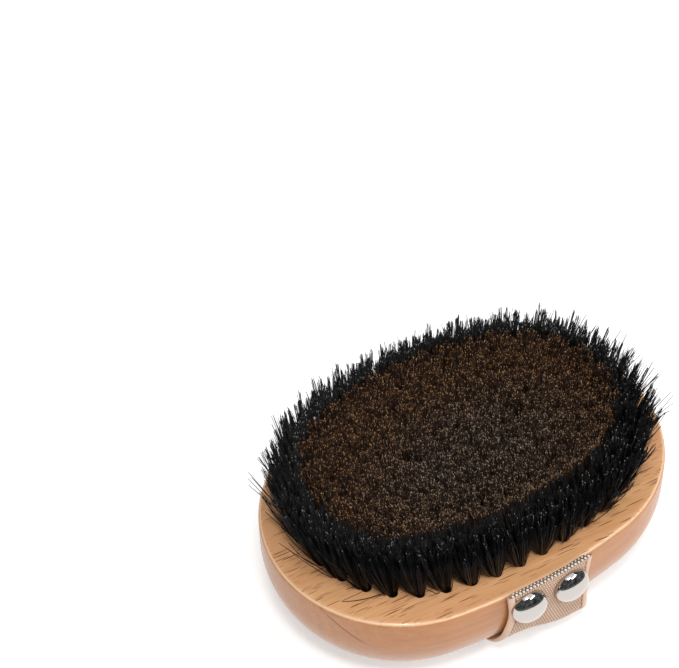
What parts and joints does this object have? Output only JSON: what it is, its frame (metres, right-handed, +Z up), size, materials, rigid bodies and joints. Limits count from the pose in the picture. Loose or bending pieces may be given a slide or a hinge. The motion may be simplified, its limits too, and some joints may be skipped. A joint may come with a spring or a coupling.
{
  "type": "body brush",
  "caption": "Oval wooden dry body brush with a dense bristle field and an elastic hand strap held by dome-head nails.",
  "frame": {"origin": "under the middle of the strap, on the surface that the brush stands on", "axes": "+X along the strap across the block, +Y along the block, +Z up through the bristles"},
  "size_m": [0.1, 0.13, 0.054],
  "materials": {
    "beech": "satin lacquered beech, grain along the length",
    "webbing": "woven elastic webbing, ribbed across, plain selvedges",
    "black_bristle": "black bristle, slightly glossy",
    "brown_bristle": "dark brown bristle mixed with fine bronze-coloured wire",
    "anchor_wire": "drawn flat wire",
    "nail_steel": "polished nickel plate"
  },
  "bodies": {
    "strap": {"elastic_strap": "webbing"},
    "brush": {"wood_body": "beech", "tuft_row_1": "black_bristle", "anchor_row_1": "anchor_wire", "tuft_row_2": "brown_bristle", "anchor_row_2": "anchor_wire", "tuft_row_3": "brown_bristle", "anchor_row_3": "anchor_wire", "tuft_row_4": "brown_bristle", "anchor_row_4": "anchor_wire", "tuft_row_5": "brown_bristle", "anchor_row_5": "anchor_wire", "tuft_row_6": "brown_bristle", "anchor_row_6": "anchor_wire", "nail_right_front": "nail_steel", "nail_right_rear": "nail_steel", "nail_left_front": "nail_steel", "nail_left_rear": "nail_steel"}
  },
  "joints": [
    {"name": "strap_open", "type": "slide", "parent": "strap", "child": "brush", "axis": [0, 0, 1], "range_m": [0, 0.022], "stiffness_N_per_m": 60, "deforming": ["elastic_strap"]}
  ]
}
